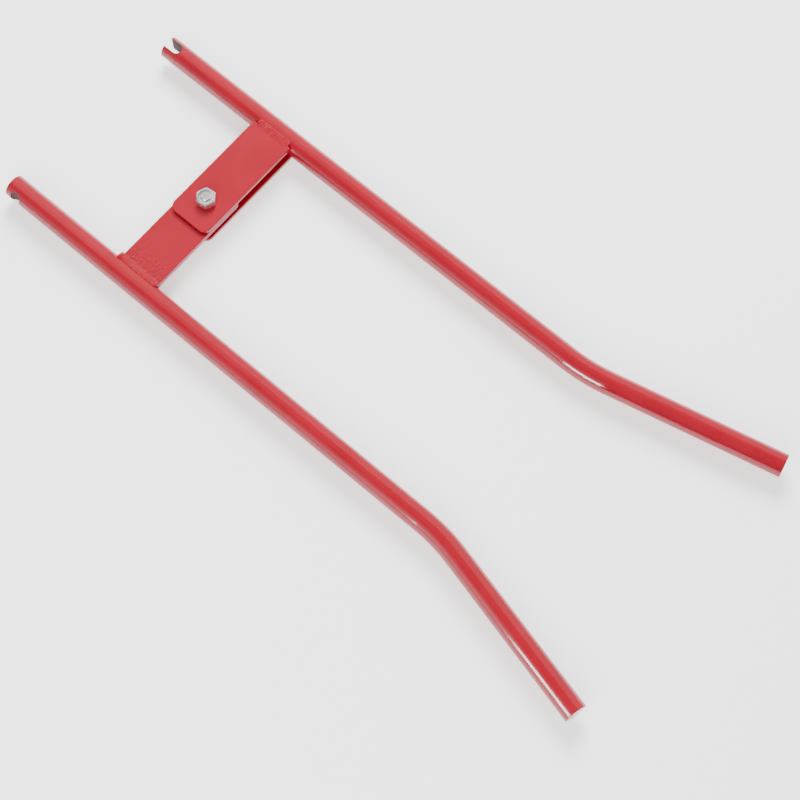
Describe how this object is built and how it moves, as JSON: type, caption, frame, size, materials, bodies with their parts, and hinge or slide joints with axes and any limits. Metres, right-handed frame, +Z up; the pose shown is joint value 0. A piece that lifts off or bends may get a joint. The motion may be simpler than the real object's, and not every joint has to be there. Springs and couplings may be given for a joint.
{
  "type": "two-bar lever tool",
  "caption": "Long-handled hand tool: round steel bars with notched tips, joined by a flat welded link that turns on a bolt.",
  "frame": {"origin": "the bottom centre of the overall box, midway between the two bars and level with the underside of the bolt head", "axes": "+X along the bars from the notched tips to the handles, +Y across the tool from the near bar to the far bar, +Z up along the pivot bolt from its head to its nut"},
  "size_m": [0.7072, 0.31, 0.0361],
  "materials": {
    "bar_paint": "satin red powder coat",
    "plate_paint": "satin red powder coat",
    "weld_paint": "satin red powder coat over rippled weld",
    "plated_steel": "bright zinc plate"
  },
  "bodies": {
    "near_arm": {"near_bar": "bar_paint", "tongue_plate": "plate_paint", "tongue_weld_upper": "weld_paint", "tongue_weld_lower": "weld_paint"},
    "far_arm": {"far_bar": "bar_paint", "upper_clevis_plate": "plate_paint", "lower_clevis_plate": "plate_paint", "clevis_weld_upper": "weld_paint", "clevis_weld_lower": "weld_paint", "pivot_bolt": "plated_steel", "pivot_nut": "plated_steel"}
  },
  "joints": [
    {"name": "link_pivot", "type": "hinge", "parent": "near_arm", "child": "far_arm", "pos_m": [-0.20366, 0.0014, 0.01665], "axis": [0, 0, 1], "range_deg": [-26, 60]}
  ]
}
